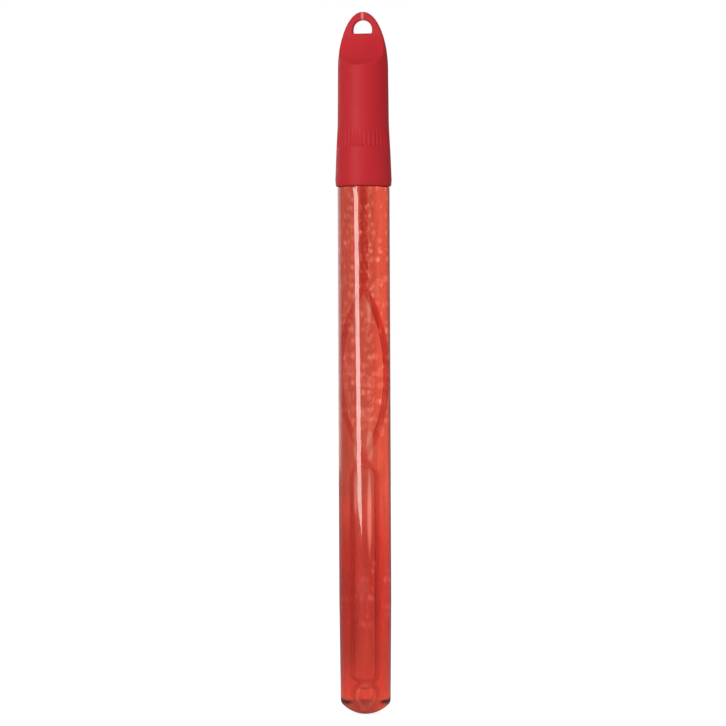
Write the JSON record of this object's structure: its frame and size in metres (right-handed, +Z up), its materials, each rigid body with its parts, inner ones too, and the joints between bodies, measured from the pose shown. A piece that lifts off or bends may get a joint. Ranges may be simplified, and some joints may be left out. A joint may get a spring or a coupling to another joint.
{
  "type": "bubble wand",
  "caption": "Slim clear red tube of bubble solution with a domed end, closed by a push-on handle cap with a hang eye, which carries a flat wand of hoops.",
  "frame": {"origin": "lowest point of the tube's domed end, on the tube's axis", "axes": "+Z up along the tube's axis to the hang eye; the flat hanging tab and the flat wand lie in the XZ plane; -Y is the front"},
  "size_m": [0.0296, 0.0296, 0.368],
  "materials": {
    "clear_tube": "clear tinted, glossy",
    "solution": "clear liquid",
    "cap_plastic": "satin moulded",
    "closure_plastic": "satin moulded",
    "seal": "soft foam",
    "wand_plastic": "translucent moulded"
  },
  "bodies": {
    "tube": {"tube": "clear_tube", "bubble_solution": "solution"},
    "seal": {"seal_ring": "seal"},
    "cap": {"cap": "cap_plastic", "plug_insert": "closure_plastic", "wand": "wand_plastic"}
  },
  "joints": [
    {"name": "wand_lift", "type": "slide", "parent": "tube", "child": "seal", "axis": [0, 0, 1], "range_m": [0, 0.3]},
    {"name": "cap_turn", "type": "hinge", "parent": "seal", "child": "cap", "pos_m": [0, 0, 0.286], "axis": [0, 0, 1], "continuous": true}
  ]
}
